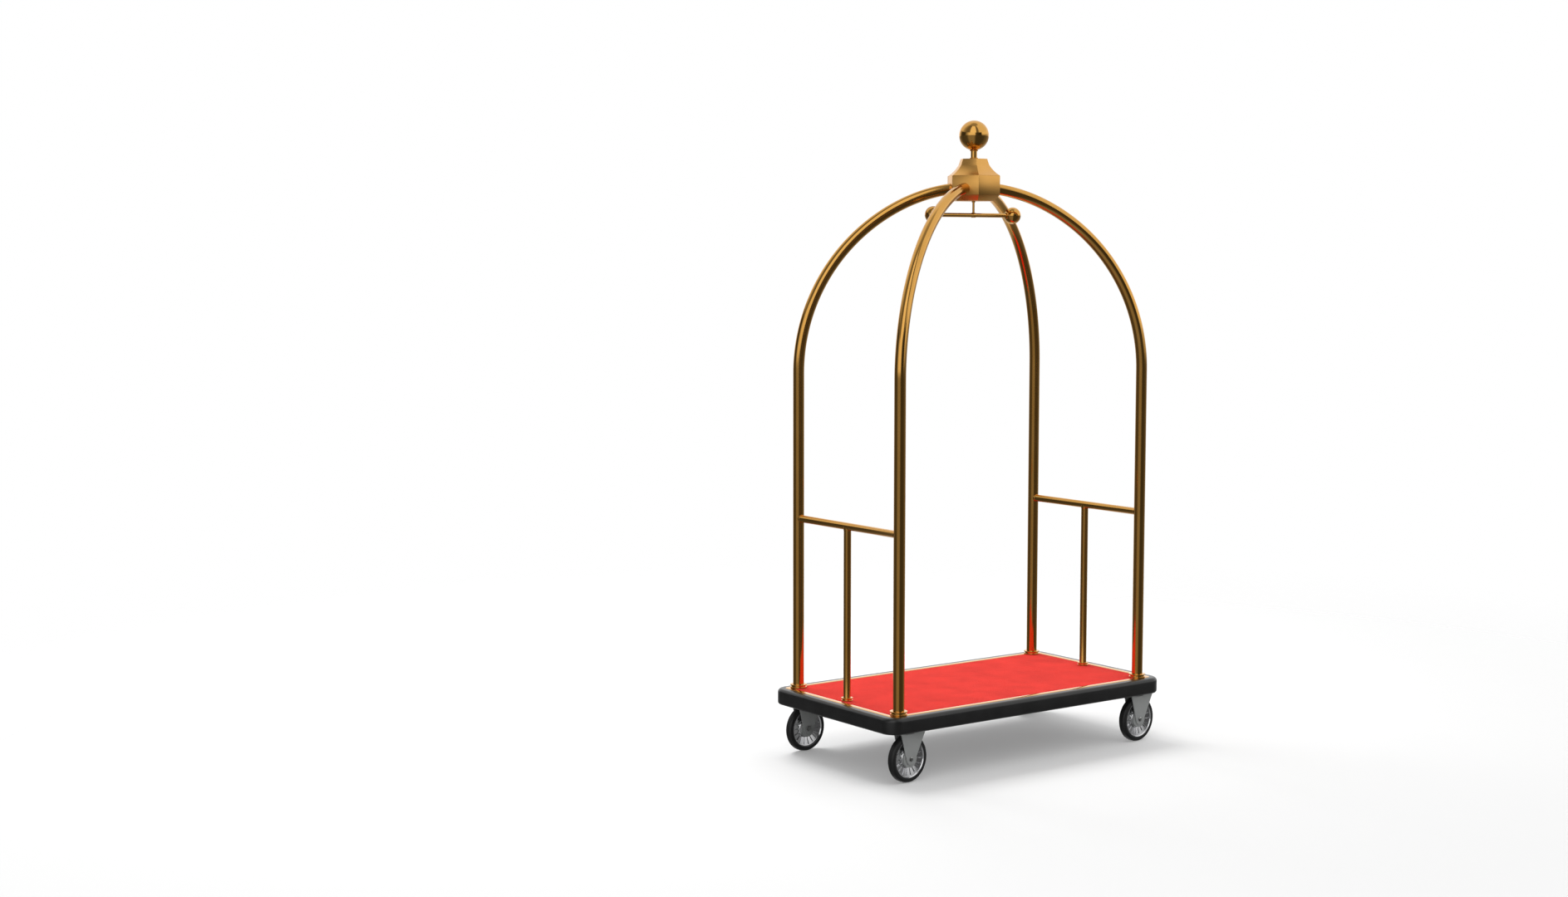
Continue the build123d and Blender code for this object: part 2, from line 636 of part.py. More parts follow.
for (x, y), (_, _, corner) in zip(caster_places, corners):
    with BuildPart() as caster_plate:
        with BuildSketch(Plane((x, y, caster_plate_bottom))):
            RectangleRounded(caster_plate_length, caster_plate_width, caster_plate_corner)
            Circle(kingpin_radius, mode=Mode.SUBTRACT)
            with GridLocations(caster_bolt_spacing_x, caster_bolt_spacing_y, 2, 2):
                Circle(bolt_radius + bolt_hole_fit, mode=Mode.SUBTRACT)
        extrude(amount=caster_plate_thickness)
    save(caster_plate, f"caster_plate_{corner}")

    # The swivelling pieces are drawn in a frame that stands on the floor under the swivel axis and is
    # turned to the caster's heading: local x points from the swivel axis to the axle.
    heading = radians(rest_heading[corner])
    forward = Vector(cos(heading), sin(heading), 0)
    across = Vector(-sin(heading), cos(heading), 0)
    swivel = Plane(origin=(x, y, 0), x_dir=forward, z_dir=(0, 0, 1))
    axle_centre = Vector(x, y, wheel_radius) + forward * caster_trail
    axle_axis = Axis(axle_centre, across)
    side_plane = upright_plane(forward, Vector(x, y, 0))
    wheel_plane = Plane(origin=axle_centre, x_dir=across, z_dir=across.cross(Vector(0, 0, 1)))

    with BuildPart() as fork:
        leg_middle = caster_trail + (fork_leg_back - fork_leg_front) / 2
        leg_length = fork_leg_front + fork_leg_back
        with BuildSketch(side_plane.offset(-fork_outer_width / 2)):
            with Locations((caster_trail, wheel_radius)):
                Circle(fork_foot_radius)
            with Locations((leg_middle, fork_crown_top - fork_sheet / 2)):
                Rectangle(leg_length, fork_sheet)
            make_hull()
        extrude(amount=fork_outer_width)
        crown_edges = fork.faces().sort_by(Axis.Z)[-1].edges()
        fillet(crown_edges.filter_by(Axis(axle_centre, forward)), fork_bend_radius)
        with BuildSketch(side_plane.offset(-fork_inner_width / 2)):
            with Locations((leg_middle, fork_crown_bottom / 2)):
                Rectangle(2 * leg_length, fork_crown_bottom)
        extrude(amount=fork_inner_width, mode=Mode.SUBTRACT)
        with BuildSketch(swivel.offset(fork_crown_bottom)):
            Circle(fork_seat_radius)
        extrude(amount=fork_sheet)
        with BuildSketch(swivel.offset(fork_crown_bottom)):
            Circle(kingpin_radius + kingpin_fit)
        extrude(amount=fork_sheet, mode=Mode.SUBTRACT)
        with BuildSketch(side_plane.offset(-fork_outer_width / 2)):
            with Locations((caster_trail, wheel_radius)):
                Circle(axle_radius + axle_hole_fit)
        extrude(amount=fork_outer_width, mode=Mode.SUBTRACT)
    save(fork, f"fork_{corner}")

    with BuildPart() as swivel_race:
        with BuildSketch(swivel.offset(fork_crown_top)):
            Circle(race_radius)
            Circle(kingpin_radius + kingpin_fit, mode=Mode.SUBTRACT)
        extrude(amount=race_foot_height)
        with BuildSketch(swivel.offset(fork_crown_top)):
            Circle(race_neck_radius)
            Circle(kingpin_radius + kingpin_fit, mode=Mode.SUBTRACT)
        extrude(amount=race_height)
    save(swivel_race, f"swivel_race_{corner}")

    # The axle's head is on the outer side of the cart and its nut on the inner side
    with BuildPart() as axle:
        outer_side = -1 if y < 0 else 1
        leg_face = outer_side * fork_outer_width / 2
        with BuildSketch(wheel_plane):
            with BuildLine():
                Polyline(
                    (leg_face, 0),
                    (leg_face, axle_head_radius),
                    (leg_face + outer_side * axle_head_height / 2, axle_head_radius),
                    (leg_face + outer_side * axle_head_height, axle_head_radius / 2),
                    (leg_face + outer_side * axle_head_height, 0),
                    (leg_face, 0),
                )
            make_face()
        revolve(axis=axle_axis)
        with BuildSketch(side_plane.offset(-leg_face)):
            with Locations((caster_trail, wheel_radius)):
                Circle(axle_radius)
        extrude(amount=outer_side * (fork_outer_width + axle_nut_height))
        with BuildSketch(side_plane.offset(-leg_face - outer_side * axle_head_height)):
            with Locations((caster_trail, wheel_radius)):
                RegularPolygon(axle_socket_radius, hexagon_sides)
        extrude(amount=outer_side * axle_head_height, mode=Mode.SUBTRACT)
        with BuildSketch(side_plane.offset(leg_face)):
            with Locations((caster_trail, wheel_radius)):
                RegularPolygon(axle_nut_radius, hexagon_sides)
        extrude(amount=outer_side * axle_nut_height)
    save(axle, f"axle_{corner}")

    half_boss = rim_boss_width / 2
    half_lip = rim_lip_width / 2
    lip_floor = rim_radius - rim_lip_thickness

    with BuildPart() as rim_slots:
        with BuildSketch(side_plane.offset(-half_boss)):
            with Locations((caster_trail, wheel_radius)):
                with PolarLocations((rim_boss_radius + lip_floor) / 2, rim_slot_count):
                    SlotOverall(lip_floor - rim_boss_radius - 2 * rim_slot_margin, rim_slot_width)
        extrude(amount=rim_boss_width)
        with BuildSketch(wheel_plane):
            with BuildLine():
                Polyline(
                    (0, bearing_radius),
                    (rim_dish_floor - rim_slot_depth, rim_boss_radius),
                    (rim_dish_edge - rim_slot_depth, lip_floor),
                    (0, rim_radius),
                    (0, bearing_radius),
                )
            make_face()
            mirror(about=Plane.YZ)
        revolve(axis=axle_axis, mode=Mode.SUBTRACT)

    with BuildPart() as rim:
        with BuildSketch(wheel_plane):
            with BuildLine():
                Polyline(
                    (0, bearing_radius),
                    (half_boss, bearing_radius),
                    (half_boss, rim_boss_radius),
                    (rim_dish_floor, rim_boss_radius),
                    (rim_dish_edge, lip_floor),
                    (half_lip, lip_floor),
                    (half_lip, rim_radius),
                    (0, rim_radius),
                    (0, bearing_radius),
                )
            make_face()
            mirror(about=Plane.YZ)
        revolve(axis=axle_axis)
        add(rim_slots.part, mode=Mode.SUBTRACT)
    save(rim, f"rim_{corner}")

    with BuildPart() as tyre:
        with BuildSketch(wheel_plane):
            with Locations((0, rim_radius + tyre_thickness / 2)):
                section = Rectangle(tyre_width, tyre_thickness)
            fillet(section.vertices().group_by(Axis.Y)[-1], tyre_shoulder)
        revolve(axis=axle_axis)
    save(tyre, f"tyre_{corner}")

    with BuildPart() as wheel_bearings:
        with BuildSketch(wheel_plane):
            for face in (-1, 1):
                with Locations((face * (bearing_face - bearing_width / 2), 0)):
                    Rectangle(
                        bearing_width, bearing_radius, align=(Align.CENTER, Align.MIN)
                    )
            with Locations((0, 0)):
                Rectangle(fork_inner_width, 2 * (axle_radius + bearing_axle_fit), mode=Mode.SUBTRACT)
        revolve(axis=axle_axis)
    save(wheel_bearings, f"wheel_bearings_{corner}")
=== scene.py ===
"""The finished look of a hotel luggage cart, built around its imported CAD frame.

The cart stands at its real size in metres, with the origin on the floor under the middle of the deck, +X
towards its front end, +Y to its left and +Z up. Each sub-assembly is a class that models its visible pieces
over the frame's nodes and dresses them; small hidden hardware keeps its CAD shape and gets a finish.
"""

from __future__ import annotations

import json
import logging
import math
from collections.abc import Callable, Sequence
from dataclasses import dataclass, field
from enum import Enum
from functools import partial

import bpy
from mathutils import Matrix, Vector


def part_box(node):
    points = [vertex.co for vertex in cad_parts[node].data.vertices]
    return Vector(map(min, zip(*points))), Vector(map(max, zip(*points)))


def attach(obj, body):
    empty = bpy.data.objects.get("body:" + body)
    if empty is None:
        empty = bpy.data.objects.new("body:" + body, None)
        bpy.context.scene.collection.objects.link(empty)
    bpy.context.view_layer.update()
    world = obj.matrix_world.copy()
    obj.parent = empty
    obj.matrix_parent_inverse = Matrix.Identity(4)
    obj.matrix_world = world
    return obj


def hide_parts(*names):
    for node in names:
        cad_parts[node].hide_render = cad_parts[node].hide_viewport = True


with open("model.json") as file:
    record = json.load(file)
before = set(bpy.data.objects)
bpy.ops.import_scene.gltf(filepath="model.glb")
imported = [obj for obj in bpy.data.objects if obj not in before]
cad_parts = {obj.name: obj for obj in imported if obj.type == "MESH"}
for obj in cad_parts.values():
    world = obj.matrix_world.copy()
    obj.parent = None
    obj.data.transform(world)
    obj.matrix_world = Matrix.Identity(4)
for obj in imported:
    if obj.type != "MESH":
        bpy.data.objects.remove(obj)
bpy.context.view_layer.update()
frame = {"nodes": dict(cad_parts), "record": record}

log = logging.getLogger("luggage_cart")

MM = 0.001
SMOOTH_ANGLE = math.radians(32)
WELD_GAP = 0.005 * MM
END_NAMES = ("rear", "front")
SIDE_NAMES = ("right", "left")
CORNER_NAMES = tuple(f"{end}_{side}" for end in END_NAMES for side in SIDE_NAMES)


# ------------------------------------------------------------------ small helpers


def colour(hex_value: str) -> tuple[float, float, float, float]:
    """Turn an sRGB hex colour into linear RGBA.

    Args:
        hex_value: six hex digits, such as "c9a45a".

    Returns:
        The colour as linear red, green and blue, with an alpha of 1.
    """
    channels = [int(hex_value[i : i + 2], 16) / 255 for i in (0, 2, 4)]
    linear = [c / 12.92 if c <= 0.04045 else ((c + 0.055) / 1.055) ** 2.4 for c in channels]
    return (linear[0], linear[1], linear[2], 1.0)


def centre_of(node: str) -> Vector:
    """Return the middle of a CAD node's box."""
    low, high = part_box(node)
    return (low + high) / 2


class Axis(Enum):
    """The direction that a turned piece's own axis points in."""

    UP = Matrix.Identity(4)
    ALONG = Matrix.Rotation(math.pi / 2, 4, "Y")
    ACROSS = Matrix.Rotation(-math.pi / 2, 4, "X")


# ------------------------------------------------------------------ modelling with Blender's mesh operators


class Workpiece:
    """One mesh object in edit mode, shaped with Blender's mesh operators."""

    def __init__(self, name: str, add: Callable[..., set[str]], **settings: object) -> None:
        """Add a primitive and stay in edit mode on it with everything selected.

        Args:
            name: the finished piece's name.
            add: the operator that adds the primitive.
            settings: the operator's own settings, such as its radius and location.
        """
        if bpy.context.object and bpy.context.object.mode != "OBJECT":
            bpy.ops.object.mode_set(mode="OBJECT")
        bpy.ops.object.select_all(action="DESELECT")
        add(**settings)
        self.obj = bpy.context.object
        self.obj.name = name
        self.obj.data.name = name
        bpy.ops.object.transform_apply(location=True, rotation=True, scale=True)
        bpy.ops.object.mode_set(mode="EDIT")
        self.mode("VERT")
        bpy.ops.mesh.select_all(action="SELECT")

    def mode(self, kind: str) -> None:
        """Choose vertex, edge or face selection."""
        bpy.ops.mesh.select_mode(type=kind)

    def pick(self, kind: str, test: Callable[[Vector, Vector], bool]) -> None:
        """Select the faces or vertices that pass a test of their place and normal.

        Args:
            kind: "FACE" or "VERT".
            test: takes the element's place and its normal, and says whether to select it.
        """
        bpy.ops.mesh.select_all(action="DESELECT")
        self.mode(kind)
        bpy.ops.object.mode_set(mode="OBJECT")
        mesh = self.obj.data
        for element in mesh.polygons if kind == "FACE" else mesh.vertices:
            element.select = test(element.center if kind == "FACE" else element.co, element.normal)
        bpy.ops.object.mode_set(mode="EDIT")

    def extrude(self, move: Sequence[float]) -> None:
        """Extrude the selection and move it."""
        bpy.ops.mesh.extrude_region_move(TRANSFORM_OT_translate={"value": tuple(move)})

    def grow(self, factor: float, centre: Sequence[float]) -> None:
        """Scale the selection level, about an upright line through a point."""
        bpy.ops.transform.resize(value=(factor, factor, 1.0), center_override=tuple(centre))

    def inset(self, thickness: float) -> None:
        """Inset the selected faces by a width."""
        bpy.ops.mesh.inset(thickness=thickness, depth=0.0, use_even_offset=True, use_boundary=True)

    def round_corners(self, radius: float, segments: int) -> None:
        """Round the selected corners."""
        bpy.ops.mesh.bevel(offset=radius, segments=segments, affect="VERTICES", profile=0.5)

    def fill(self) -> None:
        """Close the selected open loop with one face."""
        bpy.ops.mesh.edge_face_add()

    def fill_loop(self) -> None:
        """Join the two ends of the drawn outline, leaving it hollow and wholly selected."""
        bpy.ops.object.mode_set(mode="OBJECT")
        self.obj.data.edges.add(1)
        self.obj.data.edges[-1].vertices = (0, len(self.obj.data.vertices) - 1)
        for element in (*self.obj.data.vertices, *self.obj.data.edges):
            element.select = True
        bpy.ops.object.mode_set(mode="EDIT")

    def spin(self, centre: Sequence[float], axis: Sequence[float], angle: float, steps: int) -> None:
        """Sweep the selected ring anticlockwise round an axis, and leave the last ring selected."""
        bpy.ops.mesh.spin(steps=steps, angle=-angle, center=tuple(centre), axis=tuple(axis))

    def close(self) -> bpy.types.Object:
        """Weld what meets, turn every face outwards and leave edit mode.

        Returns:
            The finished mesh object.
        """
        bpy.ops.mesh.select_all(action="SELECT")
        bpy.ops.mesh.remove_doubles(threshold=WELD_GAP)
        bpy.ops.mesh.normals_make_consistent(inside=False)
        bpy.ops.object.mode_set(mode="OBJECT")
        return self.obj


def finish_shape(piece: bpy.types.Object, bevel: float = 0.0, segments: int = 2) -> bpy.types.Object:
    """Soften a piece's edges and shade it smooth.

    Args:
        piece: the mesh object.
        bevel: the width of the softened edge, or 0 for none.
        segments: how many faces round that edge.

    Returns:
        The same object.
    """
    bpy.ops.object.select_all(action="DESELECT")
    piece.select_set(True)
    bpy.context.view_layer.objects.active = piece
    if bevel > 0:
        modifier = piece.modifiers.new("soft_edges", "BEVEL")
        modifier.width = bevel
        modifier.segments = segments
        modifier.limit_method = "ANGLE"
        modifier.angle_limit = SMOOTH_ANGLE
        bpy.ops.object.modifier_apply(modifier=modifier.name)
    bpy.ops.object.shade_smooth_by_angle(angle=SMOOTH_ANGLE)
    return piece


def place(piece: bpy.types.Object, matrix: Matrix) -> bpy.types.Object:
    """Move a finished mesh in its own data, so that its object stays at the origin."""
    piece.data.transform(matrix)
    piece.data.update()
    return piece


def turn_outline(name: str, outline: Sequence[tuple[float, float]], segments: int) -> Workpiece:
    """Draw an outline's first ring, then extrude and size it ring by ring.

    Args:
        name: the piece's name.
        outline: the radius and the height of each ring.
        segments: sides of each ring.

    Returns:
        The workpiece, with its last ring selected.
    """
    radius, height = outline[0]
    work = Workpiece(
        name,
        bpy.ops.mesh.primitive_circle_add,
        vertices=segments,
        radius=radius,
        location=(0, 0, height),
        fill_type="NOTHING",
    )
    work.mode("EDGE")
    for next_radius, next_height in outline[1:]:
        work.extrude((0, 0, next_height - height))
        work.grow(next_radius / radius, (0, 0, next_height))
        radius, height = next_radius, next_height
    return work


def turned(
    name: str,
    outline: Sequence[tuple[float, float]],
    segments: int = 64,
    closed: bool = False,
    axis: Axis = Axis.UP,
    heading: float = 0.0,
    at: Vector | None = None,
    bevel: float = 0.0,
) -> bpy.types.Object:
    """Turn an outline about its own axis, ring by ring, as on a lathe.

    Args:
        name: the piece's name.
        outline: the radius and the place along the axis of each ring, none of radius 0.
        segments: sides of each ring.
        closed: joins the last ring to the first, for a ring with a hole, in place of two end faces.
        axis: the direction of the turned axis.
        heading: an angle about Z that the piece is turned by afterwards.
        at: where the outline's zero goes.
        bevel: the width of softened edges.

    Returns:
        The mesh object.
    """
    work = turn_outline(name, [*outline, outline[0]] if closed else outline, segments)
    if not closed:
        first_radius, first_height = outline[0]
        work.fill()
        work.pick("VERT", lambda place_at, _: abs(place_at.z - first_height) < WELD_GAP
                  and abs(math.hypot(place_at.x, place_at.y) - first_radius) < WELD_GAP)
        work.fill()
    piece = work.close()
    finish_shape(piece, bevel)
    turn = Matrix.Rotation(heading, 4, "Z") @ axis.value
    return place(piece, Matrix.Translation(at or Vector()) @ turn)


def arc_points(
    centre: tuple[float, float], radius: float, start: float, end: float, steps: int
) -> list[tuple[float, float]]:
    """Return points round an arc, both ends included, with angles in degrees."""
    angles = [math.radians(start + (end - start) * i / steps) for i in range(steps + 1)]
    return [(centre[0] + radius * math.cos(a), centre[1] + radius * math.sin(a)) for a in angles]


# ------------------------------------------------------------------ finishes


def add_node(
    tree: bpy.types.NodeTree, kind: str, inputs: dict[object, object] | None = None, **settings: object
) -> bpy.types.Node:
    """Add a node to a tree with its settings, values and links.

    Args:
        tree: the node tree.
        kind: the node's type name.
        inputs: input name or number to a value, or to an output socket that feeds it.
        settings: the node's own properties.

    Returns:
        The new node.
    """
    node = tree.nodes.new(kind)
    for key, value in settings.items():
        setattr(node, key, value)
    for key, value in (inputs or {}).items():
        if isinstance(value, bpy.types.NodeSocket):
            tree.links.new(value, node.inputs[key])
        else:
            node.inputs[key].default_value = value
    return node


class NodeSheet:
    """A new material's node tree, with its Principled shader ready."""

    def __init__(self, name: str) -> None:
        """Make the material and keep its tree, shader and object coordinates."""
        self.material = bpy.data.materials.new(name)
        self.material.use_nodes = True
        self.tree = self.material.node_tree
        self.shader = self.tree.nodes["Principled BSDF"]
        self.add = partial(add_node, self.tree)
        self.place = self.add("ShaderNodeTexCoord").outputs["Object"]

    def feed(self, socket: str, output: bpy.types.NodeSocket) -> None:
        """Link an output to one of the shader's sockets."""
        self.tree.links.new(output, self.shader.inputs[socket])

    def ramp(self, factor: bpy.types.NodeSocket, stops: Sequence[tuple[float, str]]) -> bpy.types.NodeSocket:
        """Add a colour ramp through sRGB hex colours and return its colour output."""
        node = self.add("ShaderNodeValToRGB", {0: factor})
        elements = node.color_ramp.elements
        for index, (position, hex_value) in enumerate(stops):
            element = elements[index] if index < 2 else elements.new(position)
            element.position = position
            element.color = colour(hex_value)
        return node.outputs["Color"]

    def spread(self, factor: bpy.types.NodeSocket, low: float, high: float) -> bpy.types.NodeSocket:
        """Map a factor from 0..1 to a range and return the result."""
        return self.add("ShaderNodeMapRange", {0: factor, 3: low, 4: high}).outputs[0]

    def bump(
        self, height: bpy.types.NodeSocket, depth: float, under: bpy.types.NodeSocket | None = None
    ) -> bpy.types.NodeSocket:
        """Add a bump of a depth in metres over another normal and return the normal."""
        inputs = {"Height": height, "Distance": depth, "Strength": 1.0}
        if under is not None:
            inputs["Normal"] = under
        return self.add("ShaderNodeBump", inputs).outputs["Normal"]

    def noise(
        self, size: float, detail: float = 3.0, rough: float = 0.5, stretch: Sequence[float] = (1, 1, 1)
    ) -> bpy.types.NodeSocket:
        """Add noise whose features are about a size in metres, stretched along an axis, and return it."""
        mapped = self.add("ShaderNodeMapping", {"Vector": self.place, "Scale": tuple(1 / s for s in stretch)})
        return self.add(
            "ShaderNodeTexNoise",
            {"Vector": mapped.outputs[0], "Scale": 1 / size, "Detail": detail, "Roughness": rough},
        ).outputs[0]


@dataclass(frozen=True)
class Metal:
    """A metal finish: its lacquer or plating tone, its gloss and the marks of how it was made."""

    name: str
    light: str
    dark: str
    roughness: float
    blotch: float = 120 * MM
    grain: float = 0.6 * MM
    grain_depth: float = 0.004 * MM
    stretch: tuple[float, float, float] = (1, 1, 1)

    def make(self) -> bpy.types.Material:
        """Build the material."""
        sheet = NodeSheet(self.name)
        cloud = sheet.noise(self.blotch, detail=4)
        grain = sheet.noise(self.grain, detail=2, stretch=self.stretch)
        sheet.feed("Base Color", sheet.ramp(cloud, ((0.3, self.dark), (0.7, self.light))))
        sheet.feed("Roughness", sheet.spread(cloud, self.roughness * 1.15, self.roughness * 0.87))
        sheet.feed("Normal", sheet.bump(grain, self.grain_depth))
        sheet.shader.inputs["Metallic"].default_value = 1.0
        return sheet.material


@dataclass(frozen=True)
class Moulded:
    """Moulded rubber or a baked coating: a dull, slightly clouded colour under a fine skin."""

    name: str
    light: str
    dark: str
    roughness: float
    skin: float
    skin_depth: float
    blotch: float = 60 * MM

    def make(self) -> bpy.types.Material:
        """Build the material."""
        sheet = NodeSheet(self.name)
        cloud = sheet.noise(self.blotch, detail=5, rough=0.6)
        skin = sheet.noise(self.skin, detail=2)
        sheet.feed("Base Color", sheet.ramp(cloud, ((0.35, self.dark), (0.75, self.light))))
        sheet.feed("Roughness", sheet.spread(skin, self.roughness * 0.85, self.roughness * 1.15))
        sheet.feed("Normal", sheet.bump(skin, self.skin_depth))
        return sheet.material


@dataclass(frozen=True)
class CutPile:
    """Short cut-pile carpet: tufts a few millimetres apart, with a soft sheen and a brushed lay."""

    name: str = "red_cut_pile"
    tip: str = "ff3b33"
    root: str = "b80d12"
    tuft: float = 2.4 * MM
    fibre: float = 0.7 * MM
    depth: float = 0.7 * MM

    def make(self) -> bpy.types.Material:
        """Build the material."""
        sheet = NodeSheet(self.name)
        tufts = sheet.add("ShaderNodeTexVoronoi", {"Vector": sheet.place, "Scale": 1 / self.tuft})
        fibres = sheet.noise(self.fibre, detail=3, rough=0.7)
        lay = sheet.noise(90 * MM, detail=3)
        mixed = sheet.add("ShaderNodeMath", {0: fibres, 1: sheet.spread(lay, -0.14, 0.14)}, operation="ADD")
        sheet.feed("Base Color", sheet.ramp(mixed.outputs[0], ((0.28, self.root), (0.62, self.tip))))
        tuft_height = sheet.spread(tufts.outputs["Distance"], 1.0, 0.0)
        under = sheet.bump(tuft_height, self.depth)
        sheet.feed("Normal", sheet.bump(fibres, self.depth * 0.6, under))
        sheet.shader.inputs["Roughness"].default_value = 0.95
        sheet.shader.inputs["Specular IOR Level"].default_value = 0.15
        sheet.shader.inputs["Sheen Weight"].default_value = 0.35
        sheet.shader.inputs["Sheen Roughness"].default_value = 0.5
        sheet.shader.inputs["Sheen Tint"].default_value = colour("ff8a7a")
        return sheet.material


@dataclass(frozen=True)
class FacedPlywood:
    """Film-faced birch plywood: a dark brown resin film with the fine mesh that its press leaves."""

    name: str = "film_faced_plywood"
    light: str = "3b312b"
    dark: str = "2b2420"
    mesh: float = 2.5 * MM

    def make(self) -> bpy.types.Material:
        """Build the material."""
        sheet = NodeSheet(self.name)
        cloud = sheet.noise(50 * MM, detail=4)
        grid = sheet.add(
            "ShaderNodeTexVoronoi", {"Vector": sheet.place, "Scale": 1 / self.mesh}, distance="CHEBYCHEV"
        )
        sheet.feed("Base Color", sheet.ramp(cloud, ((0.3, self.dark), (0.7, self.light))))
        sheet.feed("Normal", sheet.bump(grid.outputs["Distance"], 0.08 * MM))
        sheet.shader.inputs["Roughness"].default_value = 0.45
        return sheet.material


# Polished brass tube under lacquer: deep gold where it faces a light, brown where it faces the dark room
POLISHED_BRASS = Metal("polished_brass", "d8a355", "cf9a4c", 0.12, grain_depth=0.0015 * MM, stretch=(1, 1, 12))
# Cast brass with a satin polish: paler and softer than the tubes
SATIN_BRASS = Metal("satin_cast_brass", "e3ad60", "dba354", 0.32, grain=0.9 * MM, grain_depth=0.004 * MM)
# Bright zinc plate on turned and pressed hardware
ZINC_PLATE = Metal("zinc_plate", "b9bab8", "8f918f", 0.34, blotch=6 * MM)
# Grey enamel baked over pressed steel: an even, dull grey
GREY_PLATE = Moulded("grey_enamelled_pressing", "9b9d9c", "929493", 0.5, skin=1.2 * MM, skin_depth=0.006 * MM)
# Die-cast aluminium, polished bright on its lip and dish
POLISHED_ALUMINIUM = Metal(
    "polished_die_cast_aluminium", "ebebec", "dddddf", 0.13, blotch=15 * MM, grain_depth=0.0006 * MM
)
# Extruded synthetic rubber: near black with a satin skin
BUMPER_RUBBER = Moulded("black_bumper_rubber", "222222", "1a1a1a", 0.3, skin=1.0 * MM, skin_depth=0.004 * MM)
# Moulded tyre rubber, a little duller and blacker than the bumper
TYRE_RUBBER = Moulded("tyre_rubber", "1f1f1f", "151515", 0.5, skin=1.4 * MM, skin_depth=0.03 * MM)
# Black powder coat with its orange-peel skin
POWDER_COAT = Moulded("black_powder_coat", "1c1c1d", "141415", 0.5, skin=1.6 * MM, skin_depth=0.04 * MM)


class Finish(Enum):
    """Every finish on the cart, with the record's material slot that it stands for."""

    BRASS = ("brass", POLISHED_BRASS)
    CAST_BRASS = ("satin_brass", SATIN_BRASS)
    CARPET = ("carpet", CutPile())
    WOOD = ("plywood", FacedPlywood())
    PAN = ("pan_steel", POWDER_COAT)
    BUMPER = ("bumper_rubber", BUMPER_RUBBER)
    TYRE = ("tyre", TYRE_RUBBER)
    FORK = ("fork_steel", GREY_PLATE)
    ZINC = ("zinc_steel", ZINC_PLATE)
    ALUMINIUM = ("aluminium", POLISHED_ALUMINIUM)

    @property
    def slot(self) -> str:
        """The record's material slot."""
        return self.value[0]

    def material(self) -> bpy.types.Material:
        """Return the one material of this finish, made when it is first asked for."""
        recipe = self.value[1]
        return bpy.data.materials.get(recipe.name) or recipe.make()


def dress(piece: bpy.types.Object, finish: Finish) -> None:
    """Give an object one finish in place of what it had."""
    piece.data.materials.clear()
    piece.data.materials.append(finish.material())


def fit(piece: bpy.types.Object, body: str, finish: Finish, *nodes: str) -> bpy.types.Object:
    """Dress a new piece, hang it on its body and let it stand for CAD nodes.

    Args:
        piece: the new mesh object.
        body: the CAD body that it moves with.
        finish: its finish.
        nodes: the CAD nodes that it replaces.

    Returns:
        The piece.
    """
    dress(piece, finish)
    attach(piece, body)
    if nodes:
        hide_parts(*nodes)
    log.info("fitted %s to %s, %d faces", piece.name, body, len(piece.data.polygons))
    return piece


def dress_nodes() -> None:
    """Give every CAD node the finish of its slot in the record."""
    by_slot = {finish.slot: finish for finish in Finish}
    for row in frame["record"]["subparts"]:
        dress(frame["nodes"][row["node"]], by_slot[row["material_slot"]])


# ------------------------------------------------------------------ deck


